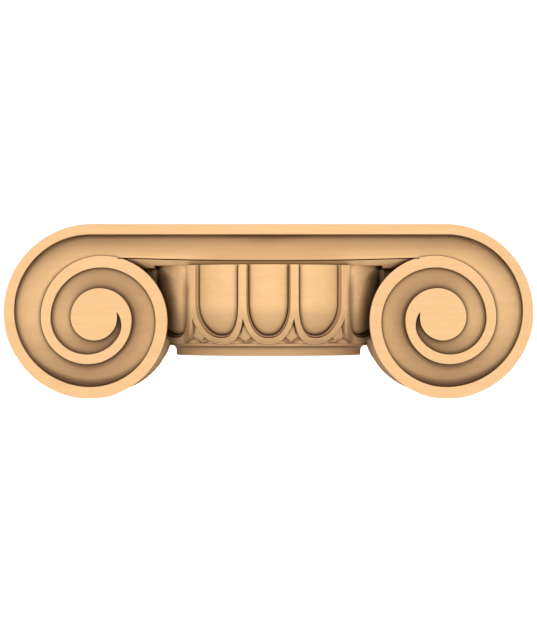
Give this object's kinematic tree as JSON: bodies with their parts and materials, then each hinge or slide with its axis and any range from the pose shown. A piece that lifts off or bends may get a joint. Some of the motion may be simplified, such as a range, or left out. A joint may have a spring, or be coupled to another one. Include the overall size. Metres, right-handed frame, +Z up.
{
  "type": "ionic capital",
  "caption": "Carved Ionic column capital: two scroll volutes and an egg-and-dart echinus that carry a beam's load down to a round shaft.",
  "frame": {"origin": "the middle of the bounding box's underside, on the plane that the volutes stand on", "axes": "+X across the two volutes, -Y out of the front, +Z up towards the beam"},
  "size_m": [0.56, 0.251, 0.1845],
  "materials": {
    "carved_wood": "matte"
  },
  "bodies": {
    "root": {"ionic_capital": "carved_wood"}
  },
  "joints": []
}
